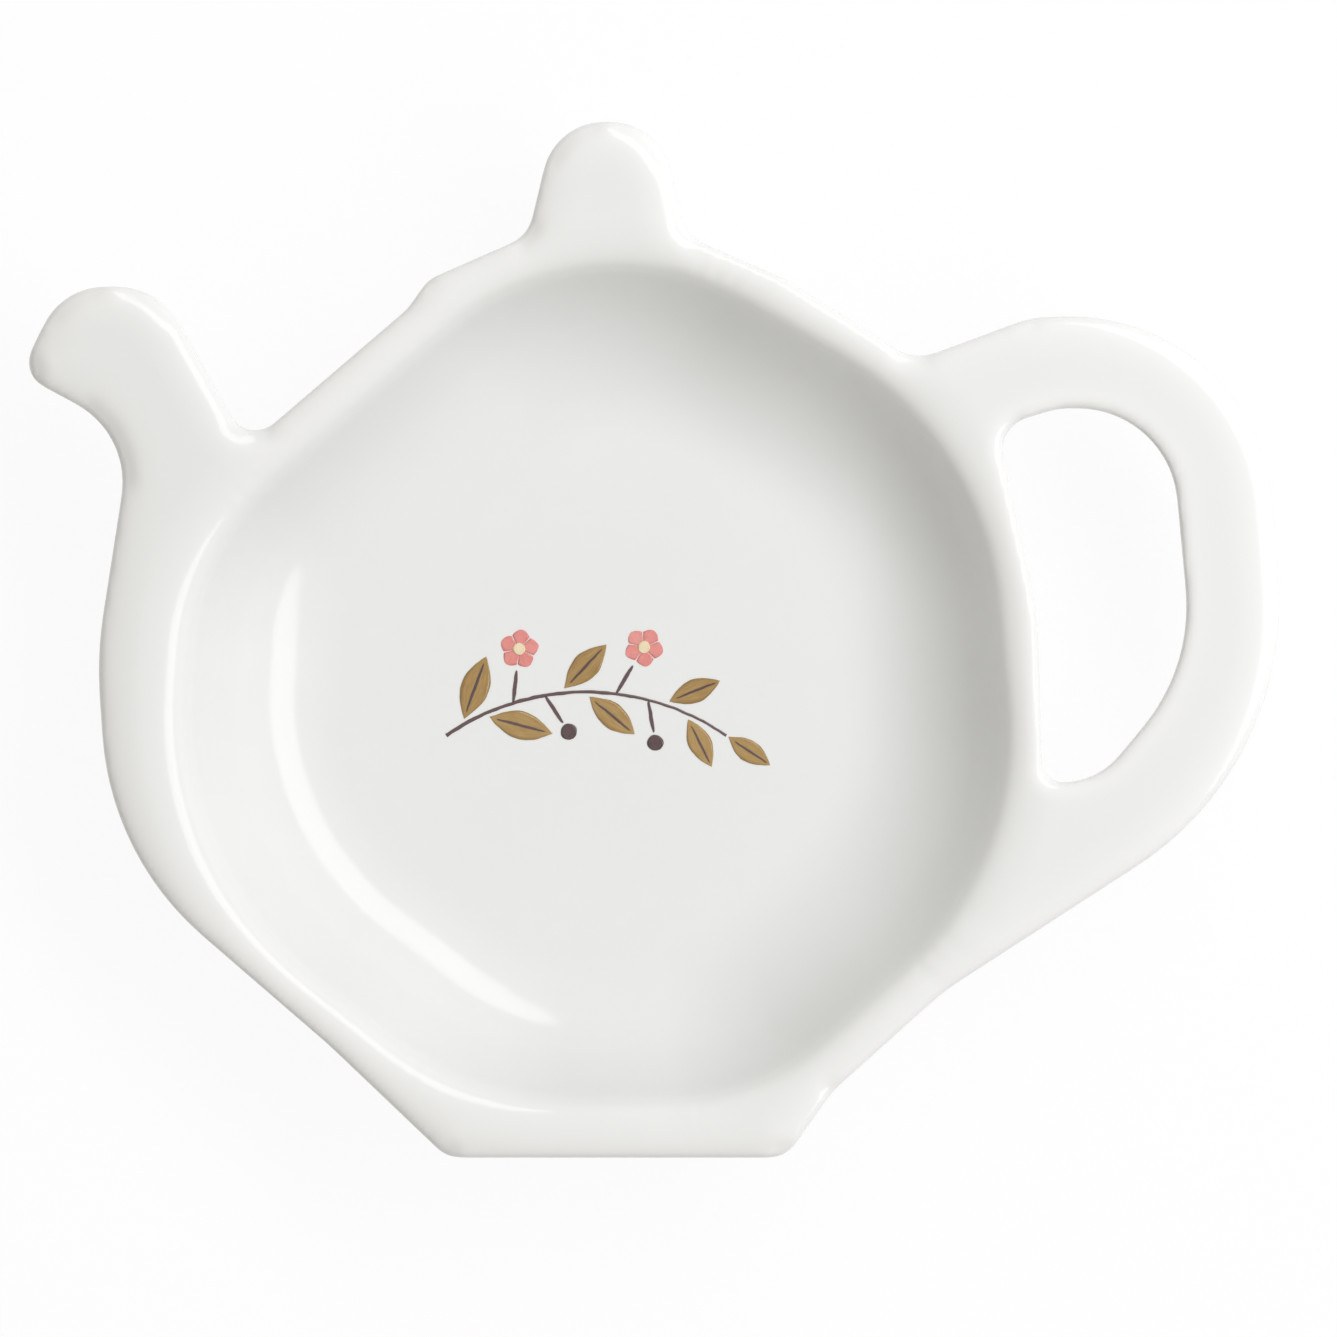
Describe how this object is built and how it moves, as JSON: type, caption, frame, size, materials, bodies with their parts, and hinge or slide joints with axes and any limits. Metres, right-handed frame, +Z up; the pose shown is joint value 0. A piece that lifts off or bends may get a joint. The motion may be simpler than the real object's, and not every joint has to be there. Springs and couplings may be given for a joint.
{
  "type": "tea bag rest",
  "caption": "Small glazed china dish in the outline of a teapot, with a round well for a used tea bag, a looped handle, a spout, a lid knob and a printed sprig on the floor of the well.",
  "frame": {"origin": "centre of the foot ring, on the surface that the dish stands on", "axes": "+Z up out of the well, +X from the spout's side to the handle, +Y to the lid's knob"},
  "size_m": [0.1204, 0.0997, 0.017],
  "materials": {
    "china": "glossy white glaze, wiped off the foot ring",
    "plum_ink": "dark plum print under glaze",
    "mustard_ink": "mustard print under glaze",
    "coral_ink": "dusty coral print under glaze",
    "cream_ink": "off-white print under glaze"
  },
  "bodies": {
    "root": {"china_body": "china", "print_stems": "plum_ink", "print_leaves": "mustard_ink", "print_leaf_veins": "plum_ink", "print_blossoms": "coral_ink", "print_blossom_eyes": "cream_ink", "print_berries": "plum_ink"}
  },
  "joints": []
}
